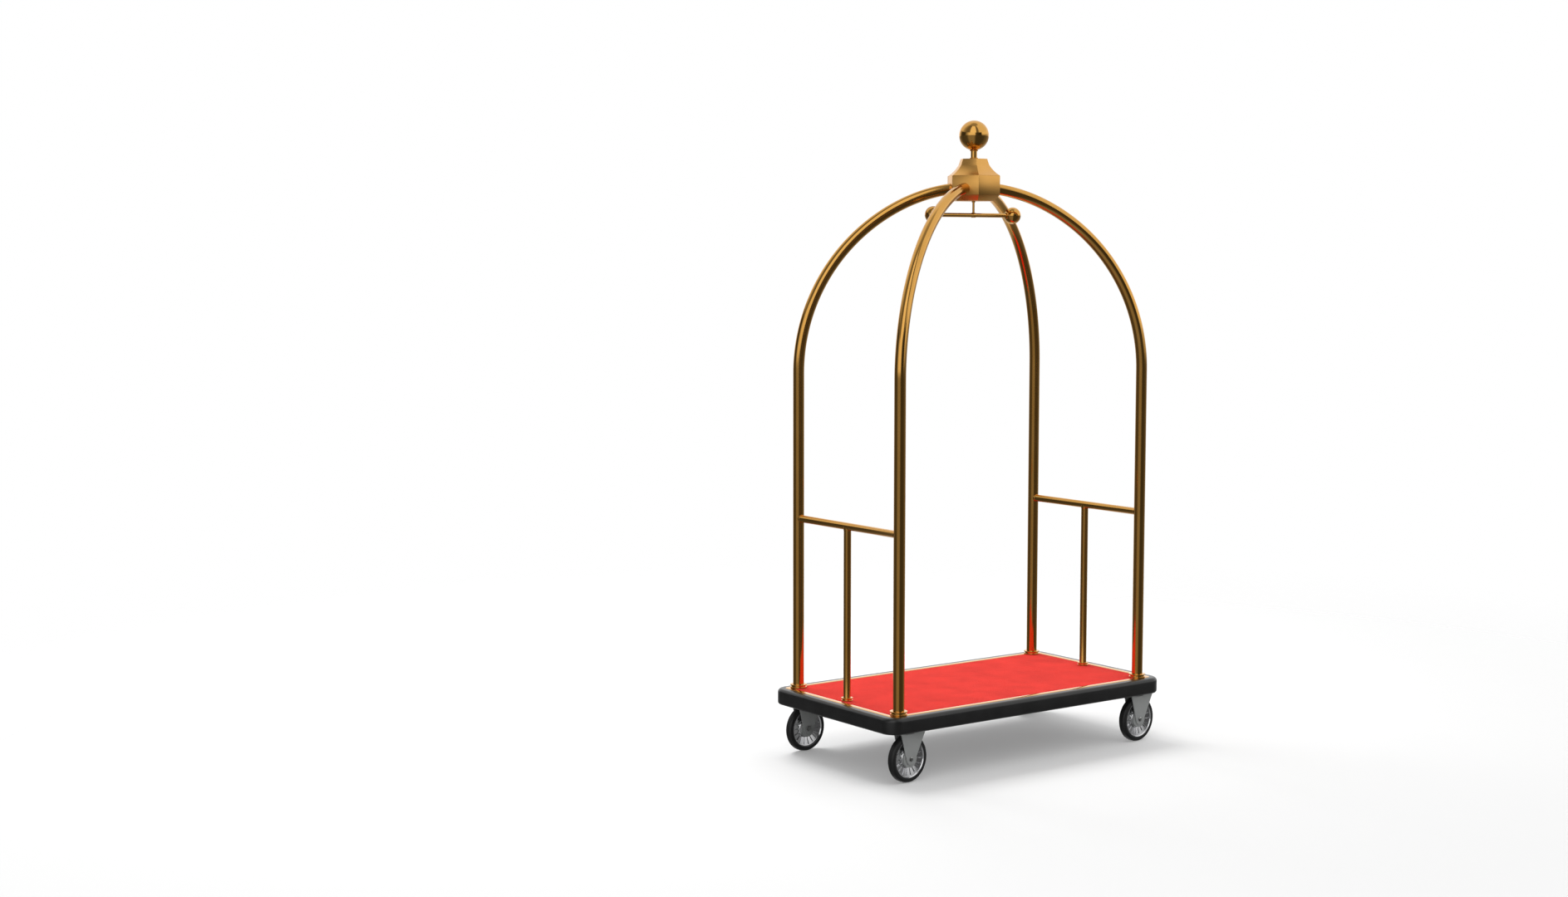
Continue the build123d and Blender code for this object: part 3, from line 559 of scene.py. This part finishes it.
@dataclass
class Deck:
    """The carpeted deck: a rubber bumper round it, a brass trim inside that, and the carpet."""

    corner: float = 46 * MM
    bumper_wall: float = 14 * MM
    bumper_band: float = 24 * MM
    bumper_top_rounding: float = 11 * MM
    bumper_bottom_rounding: float = 8 * MM
    bumper_lip: float = 3 * MM
    trim_width: float = 18 * MM
    trim_crown: float = 0.8 * MM
    carpet_gap: float = 0.3 * MM
    carpet_edge: float = 1.2 * MM
    pile_wave: float = 28 * MM
    pile_depth: float = 0.5 * MM
    cut_pitch: float = 9 * MM
    corner_steps: int = 14
    rounding_steps: int = 6
    half: Vector = field(init=False)

    def __post_init__(self) -> None:
        """Take the deck's half size from the bumper's box."""
        low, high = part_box("bumper")
        self.half = (high - low) / 2

    def run_round(self, name: str, section: Sequence[tuple[float, float]]) -> bpy.types.Object:
        """Run a closed section round the deck's rounded outline.

        Args:
            name: the piece's name.
            section: the section's corners in order, each its inset from the bumper's outside and its height.

        Returns:
            The mesh object.
        """
        straight_x = self.half.x - self.corner
        straight_y = self.half.y - self.corner
        inset, height = section[0]
        work = Workpiece(
            name, bpy.ops.mesh.primitive_plane_add, size=self.corner, location=(self.half.x - inset, 0, height)
        )
        bpy.ops.mesh.merge(type="CENTER")
        work.mode("VERT")
        for next_inset, next_height in section[1:]:
            work.extrude((inset - next_inset, 0, next_height - height))
            inset, height = next_inset, next_height
        bpy.ops.mesh.select_all(action="SELECT")
        work.fill_loop()
        work.mode("EDGE")
        for turn, (dx, dy) in enumerate(((0, 1), (-1, 0), (0, -1), (1, 0))):
            run = Vector((dx * straight_x, dy * straight_y, 0)) * (1 if turn == 0 else 2)
            work.extrude(run)
            ahead = Vector((math.cos(turn * math.pi / 2), math.sin(turn * math.pi / 2), 0))
            side = Vector((-ahead.y, ahead.x, 0))
            corner = ahead + side
            centre = Vector((corner.x * straight_x, corner.y * straight_y, 0))
            work.spin(centre, (0, 0, 1), math.pi / 2, self.corner_steps)
        work.extrude((0, straight_y, 0))
        return finish_shape(work.close())

    def build(self) -> None:
        """Build and fit the bumper, the trim and the carpet."""
        self.build_bumper()
        self.build_trim()
        self.build_carpet()

    def build_bumper(self) -> None:
        """Build the bumper, a hooked rubber section round the deck."""
        low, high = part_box("bumper")
        top, bottom = self.bumper_top_rounding, self.bumper_bottom_rounding
        section = arc_points((bottom, low.z + bottom), bottom, -90, -180, self.rounding_steps)
        section += arc_points((top, high.z - top), top, 180, 90, self.rounding_steps)
        section += [(self.bumper_band, high.z), (self.bumper_band, high.z - self.bumper_lip)]
        section += [(self.bumper_wall, high.z - self.bumper_lip), (self.bumper_wall, low.z)]
        piece = self.run_round("edge_bumper", section)
        fit(piece, "cart", Finish.BUMPER, "bumper")

    def build_trim(self) -> None:
        """Build the brass trim, a low crowned strip between the bumper and the carpet."""
        low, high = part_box("trim_frame")
        start, end = self.bumper_band, self.bumper_band + self.trim_width
        section = [(start, low.z), (start, high.z - self.trim_crown)]
        for step in range(1, self.rounding_steps):
            share = step / self.rounding_steps
            section.append((start + share * self.trim_width, high.z - self.trim_crown * (1 - 2 * share) ** 2))
        section += [(end, high.z - self.trim_crown), (end, low.z)]
        piece = self.run_round("brass_trim", section)
        fit(piece, "cart", Finish.BRASS, "trim_frame")

    def build_carpet(self) -> None:
        """Build the carpet, a cut sheet with a soft edge and a slightly uneven pile."""
        low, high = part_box("carpet")
        size = high - low
        corner = self.corner - self.bumper_band - self.trim_width - self.carpet_gap
        work = Workpiece("deck_carpet", bpy.ops.mesh.primitive_plane_add, size=1, location=(0, 0, low.z))
        bpy.ops.transform.resize(value=(size.x, size.y, 1))
        work.mode("VERT")
        work.round_corners(corner, self.corner_steps)
        bpy.ops.mesh.select_all(action="SELECT")
        work.extrude((0, 0, size.z))
        for axis, length in ((0, size.x), (1, size.y)):
            for step in range(1, int(length / self.cut_pitch)):
                place_on_axis = -length / 2 + step * length / int(length / self.cut_pitch)
                cut, normal = Vector(), Vector()
                cut[axis] = place_on_axis
                normal[axis] = 1
                bpy.ops.mesh.select_all(action="SELECT")
                bpy.ops.mesh.bisect(plane_co=cut, plane_no=normal)
        piece = finish_shape(work.close(), bevel=self.carpet_edge, segments=3)
        wave = bpy.data.textures.new("pile_lay", "CLOUDS")
        wave.noise_scale = self.pile_wave
        modifier = piece.modifiers.new("pile", "DISPLACE")
        modifier.texture = wave
        modifier.texture_coords = "LOCAL"
        modifier.direction = "Z"
        modifier.mid_level = 1.0
        modifier.strength = self.pile_depth
        bpy.ops.object.modifier_apply(modifier=modifier.name)
        fit(piece, "cart", Finish.CARPET, "carpet")


# ------------------------------------------------------------------ posts, arches and rails


@dataclass
class Birdcage:
    """The four bent corner tubes, their flanges, and the rail and centre post at each end."""

    tube_radius: float = 16.7 * MM
    rail_radius: float = 11 * MM
    spring_rise: float = 957 * MM
    shoulder_radius: float = 560 * MM
    shoulder_angle: float = math.radians(64.2)
    crown_reach: float = 42 * MM
    sides: int = 48
    weld: float = 0.9 * MM
    flange_disc_share: float = 0.26
    flange_waist_share: float = 0.4
    flange_foot_step: float = 0.8 * MM
    flange_round: float = 0.5 * MM
    flange_fillet: float = 0.9 * MM

    def build(self) -> None:
        """Build and fit every tube, rail, post and flange."""
        for corner in CORNER_NAMES:
            self.build_arch(corner)
            self.build_flange(f"post_flange_{corner}", self.tube_radius)
        for end in END_NAMES:
            self.build_rail(end)
            self.build_centre_post(end)
            self.build_flange(f"centre_flange_{end}", self.rail_radius)

    def build_arch(self, corner: str) -> None:
        """Bend one corner tube: straight up, round the shoulder, then over to the crown."""
        foot = centre_of(f"post_flange_{corner}")
        foot.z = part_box(f"post_flange_{corner}")[0].z
        outward = Vector((foot.x, foot.y, 0)).normalized()
        reach = Vector((foot.x, foot.y, 0)).length
        spring = foot.z + self.spring_rise
        turn_axis = outward.cross(Vector((0, 0, 1)))
        shoulder = outward * (reach - self.shoulder_radius) + Vector((0, 0, spring))
        left = reach - self.shoulder_radius * (1 - math.cos(self.shoulder_angle))
        top_radius = left / math.cos(self.shoulder_angle)
        top_height = spring + (self.shoulder_radius - top_radius) * math.sin(self.shoulder_angle)
        top_turn = math.acos(self.crown_reach / top_radius) - self.shoulder_angle
        work = Workpiece(
            f"arched_tube_{corner}",
            bpy.ops.mesh.primitive_circle_add,
            vertices=self.sides,
            radius=self.tube_radius,
            location=foot,
            fill_type="NOTHING",
        )
        work.fill()
        work.mode("EDGE")
        work.extrude((0, 0, self.spring_rise))
        work.spin(shoulder, turn_axis, self.shoulder_angle, 40)
        work.spin(Vector((0, 0, top_height)), turn_axis, top_turn, 16)
        piece = finish_shape(work.close())
        fit(piece, "cart", Finish.BRASS, f"arch_tube_{corner}")

    def build_flange(self, node: str, held_radius: float) -> None:
        """Turn one flange: a low spool with a disc at its foot, a narrower waist and a wider disc on top."""
        low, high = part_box(node)
        centre = (low + high) / 2
        radius = (high.x - low.x) / 2
        height = high.z - low.z
        disc, soft, fillet = self.flange_disc_share * height, self.flange_round, self.flange_fillet
        foot = radius - self.flange_foot_step - soft
        waist = radius - self.flange_waist_share * (radius - held_radius) + fillet
        outline = [(held_radius, 0)]
        outline += arc_points((foot, soft), soft, -90, 0, 3)
        outline += arc_points((foot, disc - soft), soft, 0, 90, 3)
        outline += arc_points((waist, disc + fillet), fillet, 270, 180, 4)
        outline += arc_points((waist, height - disc - fillet), fillet, 180, 90, 4)
        outline += arc_points((radius - soft, height - disc + soft), soft, -90, 0, 3)
        outline += arc_points((radius - soft, height - soft), soft, 0, 90, 3)
        outline += [(held_radius, height)]
        place_at = Vector((centre.x, centre.y, low.z))
        piece = turned(f"turned_{node}", outline, segments=64, closed=True, at=place_at)
        fit(piece, "cart", Finish.BRASS, node)

    def build_rail(self, end: str) -> None:
        """Build one end rail, running into the two posts with a small weld bead at each."""
        low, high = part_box(f"end_rail_{end}")
        centre = (low + high) / 2
        half = centre_of(f"post_flange_{end}_left").y
        wall = half - self.tube_radius
        outline = self.welded_rod(-half, -wall, wall, half)
        piece = turned(f"tubular_end_rail_{end}", outline, segments=self.sides, axis=Axis.ACROSS, at=centre)
        fit(piece, "cart", Finish.BRASS, f"end_rail_{end}")

    def build_centre_post(self, end: str) -> None:
        """Build one centre post, from its flange to the underside of the rail."""
        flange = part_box(f"centre_flange_{end}")[0]
        place_at = centre_of(f"centre_flange_{end}")
        rail = centre_of(f"end_rail_{end}").z
        outline = self.welded_rod(flange.z, flange.z, rail - self.rail_radius, rail)[2:]
        outline.insert(0, (self.rail_radius, flange.z))
        piece = turned(
            f"tubular_centre_post_{end}", outline, segments=self.sides, at=Vector((place_at.x, place_at.y, 0))
        )
        fit(piece, "cart", Finish.BRASS, f"centre_post_{end}")

    def welded_rod(self, start: float, start_wall: float, end_wall: float, end: float) -> list[tuple[float, float]]:
        """Return a rod's outline with a weld bead at each wall that it meets."""
        r, bead = self.rail_radius, self.weld
        return [
            (r + bead, start),
            (r + bead, start_wall),
            (r + bead * 0.35, start_wall + bead),
            (r, start_wall + 2.5 * bead),
            (r, end_wall - 2.5 * bead),
            (r + bead * 0.35, end_wall - bead),
            (r + bead, end_wall),
            (r + bead, end),
        ]


# ------------------------------------------------------------------ crown, finial and hanging bar


@dataclass
class Crown:
    """The hexagonal cast crown, its coved cap, and the ball finial on a ringed stem."""

    radius: float = 83.6 * MM
    taper_rise: float = 18.5 * MM
    taper_inset: float = 18.8 * MM
    neck_radius: float = 48.8 * MM
    neck_rise: float = 33 * MM
    top_radius: float = 42.5 * MM
    cove_depth: float = 2.8 * MM
    cove_steps: int = 10
    edge: float = 0.8 * MM
    ring_radius: float = 12.5 * MM
    neck: float = 9.6 * MM
    ring_height: float = 4 * MM
    stem_height: float = 27 * MM

    def build(self) -> None:
        """Build and fit the hub, the cap, the stem and the ball."""
        self.build_hub()
        self.build_cap()
        self.build_finial()

    def build_hub(self) -> None:
        """Build the hub: a hexagonal block over a taper, with softened cast edges."""
        low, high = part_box("crown_hub")
        outline = [
            (self.radius - self.taper_inset, low.z),
            (self.radius, low.z + self.taper_rise),
            (self.radius, high.z),
        ]
        piece = turned("cast_crown_hub", outline, segments=6, heading=math.radians(30), bevel=self.edge)
        fit(piece, "cart", Finish.CAST_BRASS, "crown_hub")

    def build_cap(self) -> None:
        """Build the cap, whose six faces sweep in through a shallow cove to a straight neck."""
        low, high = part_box("crown_cap")
        outline = [(self.radius, low.z)]
        run = Vector((self.neck_radius - self.radius, self.neck_rise))
        side = Vector((-run.y, run.x)).normalized()
        for step in range(1, self.cove_steps + 1):
            share = step / self.cove_steps
            dip = side * self.cove_depth * 4 * share * (1 - share)
            outline.append((self.radius + run.x * share + dip.x, low.z + run.y * share + dip.y))
        outline.append((self.top_radius, high.z))
        piece = turned("cast_crown_cap", outline, segments=6, heading=math.radians(30), bevel=self.edge)
        fit(piece, "cart", Finish.CAST_BRASS, "crown_cap")

    def build_finial(self) -> None:
        """Turn the stem with its two rings, and the ball that stands on it."""
        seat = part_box("crown_cap")[1].z
        ring, half = self.ring_radius, self.ring_height / 2
        outline = [(self.neck, seat - 1 * MM)]
        outline += arc_points((ring - half, seat + half), half, -90, 90, 8)
        outline += [(self.neck, seat + self.ring_height), (self.neck, seat + self.stem_height - self.ring_height)]
        head = seat + self.stem_height
        outline += arc_points((ring - half, head - half), half, -90, 90, 8)
        outline.append((self.neck, head + 1 * MM))
        stem = turned("turned_finial_stem", outline, segments=48)
        fit(stem, "cart", Finish.BRASS, "finial_stem")
        low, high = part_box("finial_ball")
        radius = (high.x - low.x) / 2
        foot = math.degrees(math.asin(ring / radius))
        outline = arc_points((0, 0), radius, foot - 90, 89, 48)
        ball = turned("spun_finial_ball", outline, segments=96, at=Vector((0, 0, high.z - radius)))
        fit(ball, "cart", Finish.BRASS, "finial_ball")


@dataclass
class Hanger:
    """The hanging bar under the crown: a rod, the bar, and a ball with a collar at each end."""

    bar_radius: float = 6.35 * MM
    rod_radius: float = 3.5 * MM
    ball_radius: float = 25.5 * MM
    ball_spacing: float = 314 * MM
    collar_radius: float = 9.5 * MM
    collar_length: float = 5 * MM
    collar_round: float = 1 * MM
    nut_radius: float = 5.6 * MM
    nut_height: float = 3 * MM
    nut_slope: float = 0.6 * MM
    socket: float = 4 * MM
    boss_step: float = 1.2 * MM
    boss_half: float = 6 * MM
    seat_depth: float = 8 * MM

    def build(self) -> None:
        """Build and fit the rod, the bar and the two balls."""
        bar = centre_of("hanger_bar")
        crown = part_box("crown_hub")[0].z
        rise = crown - bar.z
        nut_top = rise - 0.4 * MM
        outline = [(self.rod_radius, 0), (self.rod_radius, nut_top - self.nut_height - self.nut_slope)]
        outline += [(self.nut_radius, nut_top - self.nut_height), (self.nut_radius, nut_top)]
        outline += [(self.rod_radius, rise), (self.rod_radius, rise + self.socket)]
        rod = turned("hanger_drop_rod", outline, segments=32, at=bar)
        fit(rod, "cart", Finish.BRASS, "hanger_rod")
        half = self.ball_spacing / 2 - self.ball_radius + self.seat_depth
        boss, slope = self.bar_radius + self.boss_step, self.boss_half + 1 * MM
        outline = [(self.bar_radius, -half), (self.bar_radius, -slope), (boss, -self.boss_half)]
        outline += [(boss, self.boss_half), (self.bar_radius, slope), (self.bar_radius, half)]
        rail = turned("hanger_cross_bar", outline, segments=40, axis=Axis.ALONG, at=bar)
        fit(rail, "cart", Finish.BRASS, "hanger_bar")
        balls = [self.build_ball(end, side, bar) for side, end in zip((-1, 1), END_NAMES)]
        bpy.ops.object.select_all(action="DESELECT")
        for ball in balls:
            ball.select_set(True)
        bpy.context.view_layer.objects.active = balls[0]
        bpy.ops.object.join()
        balls[0].name = "hanger_end_balls"
        fit(balls[0], "cart", Finish.BRASS, "hanger_balls")

    def build_ball(self, end: str, side: int, bar: Vector) -> bpy.types.Object:
        """Turn one ball and its collar, which faces the middle of the bar."""
        r = self.ball_radius
        start = -r - self.collar_length / 2
        inner, soft = self.collar_radius - self.collar_round, self.collar_round
        foot = math.degrees(math.asin(inner / r))
        outline = [(self.bar_radius, start), (self.collar_radius - 0.6 * soft, start)]
        outline += arc_points((inner, start + soft), soft, -60, 60, 4)
        outline += arc_points((0, 0), r, foot - 88, 88.5, 40)
        ball = turned(f"hanger_ball_{end}", outline, segments=72, axis=Axis.ALONG)
        turn = Matrix.Identity(4) if side > 0 else Matrix.Rotation(math.pi, 4, "Z")
        place_at = bar + Vector((side * self.ball_spacing / 2, 0, 0))
        return place(ball, Matrix.Translation(place_at) @ turn)


# ------------------------------------------------------------------ casters


@dataclass
class Caster:
    """The wheel of one swivel caster: a tyre round a slotted die-cast rim."""

    corner: str
    tyre_half: float = 12.5 * MM
    tyre_depth: float = 13 * MM
    tyre_shoulder: float = 8.5 * MM
    wheel_radius: float = 70 * MM
    lip_inset: float = 0.5 * MM
    lip_thickness: float = 3 * MM
    dish_floor: float = 4.5 * MM
    dish_edge: float = 9 * MM
    boss_radius: float = 26 * MM
    boss_half: float = 13 * MM
    bore: float = 13 * MM
    slots: int = 18
    slot_share: float = 0.3
    slot_depth: float = 3.2 * MM
    slot_slope: float = 0.9 * MM
    slot_margin: float = 3 * MM
    steps: int = 180

    def __post_init__(self) -> None:
        """Read the wheel's centre and its heading, from the swivel axis to the axle."""
        self.centre = centre_of(f"rim_{self.corner}")
        pin = centre_of(f"swivel_race_{self.corner}")
        self.heading = math.atan2(self.centre.y - pin.y, self.centre.x - pin.x)

    def build(self) -> None:
        """Build and fit the tyre and the rim."""
        self.build_tyre()
        self.build_rim()

    def turned_wheel(self, name: str, outline: Sequence[tuple[float, float]], segments: int) -> bpy.types.Object:
        """Turn a ring about the axle; the outline's height runs outwards on the cart's left."""
        return turned(
            name, outline, segments=segments, closed=True, axis=Axis.ACROSS, heading=self.heading, at=self.centre
        )

    def build_tyre(self) -> None:
        """Turn the tyre, with a moulding line round its tread."""
        inner = self.tyre_half - self.tyre_shoulder
        side = self.wheel_radius - self.tyre_shoulder
        foot = self.wheel_radius - self.tyre_depth
        line = 0.5 * MM
        outline = [(foot, -self.tyre_half)]
        outline += [(r, -h) for h, r in arc_points((inner, side), self.tyre_shoulder, 0, 90, 10)]
        outline += [(self.wheel_radius, -line), (self.wheel_radius - line, 0), (self.wheel_radius, line)]
        outline += [(r, h) for h, r in arc_points((inner, side), self.tyre_shoulder, 90, 0, 10)]
        outline += [(foot, self.tyre_half)]
        piece = self.turned_wheel(f"moulded_tyre_{self.corner}", outline, 96)
        fit(piece, f"wheel_{self.corner}", Finish.TYRE, f"tyre_{self.corner}")

    def rim_outline(self) -> list[tuple[float, float]]:
        """Return the rim's closed section: its bore, boss, dish, lip and seat, then the same mirrored."""
        rim = self.wheel_radius - self.tyre_depth
        lip = rim - self.lip_thickness
        half_lip = self.tyre_half - self.lip_inset
        soft = 0.6 * MM
        near = [
            (self.bore, self.boss_half - soft),
            (self.bore + soft, self.boss_half),
            (self.boss_radius - soft, self.boss_half),
            (self.boss_radius, self.boss_half - soft),
            (self.boss_radius, self.dish_floor + 2 * soft),
            (self.boss_radius + 2 * soft, self.dish_floor),
            (self.boss_radius + self.slot_margin, self.dish_at(self.boss_radius + self.slot_margin)),
            (lip - self.slot_margin, self.dish_at(lip - self.slot_margin)),
            (lip - soft, self.dish_edge),
            (lip, self.dish_edge + soft),
            (lip, half_lip - soft),
            (lip + soft, half_lip),
            (rim - soft, half_lip),
            (rim, half_lip - soft),
        ]
        return near + [(r, -h) for r, h in reversed(near)]

    def dish_at(self, radius: float) -> float:
        """Return the dish's height above the wheel's middle plane at a radius."""
        lip = self.wheel_radius - self.tyre_depth - self.lip_thickness
        share = (radius - self.boss_radius) / (lip - self.boss_radius)
        return self.dish_floor + share * (self.dish_edge - self.dish_floor)

    def build_rim(self) -> None:
        """Turn the rim, then press a ring of slots into both faces of its dish."""
        outline = self.rim_outline()
        work = turn_outline(f"die_cast_rim_{self.corner}", [*outline, outline[0]], self.steps)
        bpy.ops.mesh.select_all(action="SELECT")
        bpy.ops.mesh.remove_doubles(threshold=WELD_GAP)
        bpy.ops.mesh.normals_make_consistent(inside=False)
        lip = self.wheel_radius - self.tyre_depth - self.lip_thickness
        start, end = self.boss_radius + self.slot_margin, lip - self.slot_margin
        pitch = 2 * math.pi / self.slots

        def in_slot(middle: Vector, normal: Vector) -> bool:
            """Say whether a face of the dish lies in one of the slots."""
            reach = math.hypot(middle.x, middle.y)
            turn = math.atan2(middle.y, middle.x) / pitch % 1
            return start < reach < end and abs(normal.z) > 0.7 and turn < self.slot_share

        for face in (1, -1):
            work.pick("FACE", lambda middle, normal: in_slot(middle, normal) and normal.z * face > 0)
            work.inset(self.slot_slope)
            bpy.ops.transform.translate(value=(0, 0, -face * self.slot_depth))
        piece = finish_shape(work.close())
        boss = [face.index for face in piece.data.polygons if math.hypot(*face.center.xy) < self.boss_radius]
        turn = Matrix.Translation(self.centre) @ Matrix.Rotation(self.heading, 4, "Z") @ Axis.ACROSS.value
        place(piece, turn)
        fit(piece, f"wheel_{self.corner}", Finish.ALUMINIUM, f"rim_{self.corner}")
        piece.data.materials.append(Finish.FORK.material())
        for index in boss:
            piece.data.polygons[index].material_index = 1


# ------------------------------------------------------------------ studio


@dataclass
class Studio:
    """The pale floor, the soft lights and the camera."""

    floor_radius: float = 14.0
    floor_cover: float = 0.8
    floor_fade: tuple[float, float] = (1.1, 4.2)
    camera_place: tuple[float, float, float] = (-4.3240, -5.0239, 1.5204)
    camera_tilt: float = math.radians(90 - 5.188)
    camera_turn: float = math.radians(-35.775)
    lens: float = 50.0
    # Bands of the room from the floor up: the rise over which each takes over from the one below, as the
    # sine of its height, then its light at angles round from behind the camera, right of it positive
    walls: tuple[tuple[float, float, tuple[tuple[float, float], ...]], ...] = (
        (-1.0, -1.0, (
            (-180, 0.9), (-150, 0.45), (-125, 0.12), (-100, 0.08), (-62, 0.1), (-45, 0.3), (-5, 0.3), (10, 0.07),
            (40, 0.065), (75, 0.075), (95, 0.14), (115, 0.2), (150, 0.5), (180, 0.9),
        )),
        (-0.02, 0.03, (
            (-180, 1.3), (-145, 1.1), (-128, 0.4), (-112, 0.06), (-78, 0.05), (-62, 0.4), (-40, 1.1), (2, 1.1),
            (9, 0.08), (40, 0.035), (54, 0.05), (64, 0.6), (100, 0.55), (120, 0.7), (150, 1.2), (180, 1.3),
        )),
        (0.09, 0.14, (
            (-180, 1.3), (-145, 1.1), (-128, 0.4), (-112, 0.06), (-78, 0.05), (-62, 0.4), (-40, 1.1), (2, 1.1),
            (9, 0.08), (40, 0.035), (54, 0.05), (62, 1.1), (120, 1.1), (180, 1.3),
        )),
        (0.3, 0.36, (
            (-180, 1.0), (-112, 0.9), (-100, 0.5), (-72, 0.2), (-40, 0.2), (-34, 1.2), (10, 1.2), (15, 0.2),
            (30, 0.2), (40, 0.95), (90, 1.0), (180, 1.0),
        )),
        (0.93, 0.97, ((-180, 0.5), (0, 0.3), (180, 0.5))),
    )

    def build(self) -> None:
        """Build the floor, the world, the lights and the camera."""
        self.build_floor()
        self.build_world()
        self.build_lights()
        self.build_camera()

    def build_floor(self) -> None:
        """Lay a pale disc, a little sheer to lift its shadow, that fades into the white backdrop."""
        work = Workpiece(
            "studio_floor", bpy.ops.mesh.primitive_circle_add, vertices=96, radius=self.floor_radius, fill_type="NGON"
        )
        floor = work.close()
        sheet = NodeSheet("pale_studio_floor")
        reach = sheet.add("ShaderNodeVectorMath", {0: sheet.place}, operation="LENGTH")
        near, far = self.floor_fade
        fade = sheet.add(
            "ShaderNodeMapRange",
            {0: reach.outputs["Value"], 1: near, 2: far, 3: self.floor_cover, 4: 0.0},
            interpolation_type="SMOOTHSTEP",
        )
        sheet.feed("Alpha", fade.outputs[0])
        sheet.shader.inputs["Base Color"].default_value = colour("f8f8f8")
        sheet.shader.inputs["Roughness"].default_value = 1.0
        sheet.shader.inputs["Specular IOR Level"].default_value = 0.0
        floor.data.materials.append(sheet.material)
        floor.visible_glossy = False

    def build_world(self) -> None:
        """Light the studio: plain white to the eye, and bands of light and dark to everything else."""
        world = bpy.data.worlds.new("studio")
        bpy.context.scene.world = world
        world.use_nodes = True
        world.node_tree.nodes.clear()
        add = partial(add_node, world.node_tree)
        direction = add("ShaderNodeTexCoord").outputs["Generated"]
        back = (math.sin(self.camera_turn), -math.cos(self.camera_turn), 0.0)
        right = (math.cos(self.camera_turn), math.sin(self.camera_turn), 0.0)
        along = add("ShaderNodeVectorMath", {0: direction, 1: back}, operation="DOT_PRODUCT").outputs["Value"]
        beside = add("ShaderNodeVectorMath", {0: direction, 1: right}, operation="DOT_PRODUCT").outputs["Value"]
        angle = add("ShaderNodeMath", {0: beside, 1: along}, operation="ARCTAN2").outputs[0]
        around = add("ShaderNodeMapRange", {0: angle, 1: -math.pi, 2: math.pi}).outputs[0]
        height = add("ShaderNodeSeparateXYZ", {0: direction}).outputs["Z"]
        level: bpy.types.NodeSocket | None = None
        for start, end, stops in self.walls:
            ramp = add("ShaderNodeValToRGB", {0: around})
            for index, (degrees, light) in enumerate(stops):
                position = degrees / 360 + 0.5
                element = ramp.color_ramp.elements[index] if index < 2 else ramp.color_ramp.elements.new(position)
                element.position = position
                element.color = (light, light, light, 1)
            if level is None:
                level = ramp.outputs["Color"]
                continue
            share = add("ShaderNodeMapRange", {0: height, 1: start, 2: end}).outputs[0]
            mixed = add("ShaderNodeMix", {0: share, 6: level, 7: ramp.outputs["Color"]}, data_type="RGBA")
            level = mixed.outputs[2]
        soft = add("ShaderNodeBackground", {"Color": level, "Strength": 1.0})
        white = add("ShaderNodeBackground", {"Color": (1, 1, 1, 1), "Strength": 1.0})
        eye = add("ShaderNodeLightPath").outputs["Is Camera Ray"]
        mix = add("ShaderNodeMixShader", {0: eye, 1: soft.outputs[0], 2: white.outputs[0]})
        add("ShaderNodeOutputWorld", {"Surface": mix.outputs[0]})

    def build_lights(self) -> None:
        """Hang a broad key light behind the cart to the left; the world gives the rest."""
        ahead = Vector((-math.sin(self.camera_turn), math.cos(self.camera_turn), 0))
        right = Vector((ahead.y, -ahead.x, 0))
        up = Vector((0, 0, 1))
        target = Vector((0, 0, 0.7))
        key = self.add_light("key_softbox", -1.6 * right + 1.8 * ahead + 4.2 * up, target, (2.4, 2.4), 120)
        key.visible_glossy = False

    def add_light(
        self, name: str, place_at: Vector, target: Vector, size: tuple[float, float], power: float
    ) -> bpy.types.Object:
        """Add one rectangular area light that points at a target, and return it."""
        data = bpy.data.lights.new(name, "AREA")
        data.shape = "RECTANGLE"
        data.size, data.size_y = size
        data.energy = power
        light = bpy.data.objects.new(name, data)
        bpy.context.scene.collection.objects.link(light)
        light.location = place_at
        light.rotation_euler = (target - place_at).to_track_quat("-Z", "Y").to_euler()
        return light

    def build_camera(self) -> None:
        """Set the camera at a standing person's distance, a little above the deck."""
        data = bpy.data.cameras.new("camera")
        data.lens = self.lens
        camera = bpy.data.objects.new("camera", data)
        bpy.context.scene.collection.objects.link(camera)
        camera.location = self.camera_place
        camera.rotation_euler = (self.camera_tilt, 0, self.camera_turn)
        bpy.context.scene.camera = camera
        bpy.context.scene.view_settings.view_transform = "Standard"


def main() -> None:
    """Build the cart's sub-assemblies in order, then the studio."""
    logging.basicConfig(level=logging.INFO, format="%(name)s: %(message)s")
    dress_nodes()
    Deck().build()
    Birdcage().build()
    Crown().build()
    Hanger().build()
    for corner in CORNER_NAMES:
        Caster(corner).build()
    Studio().build()


if __name__ == "__main__":
    main()
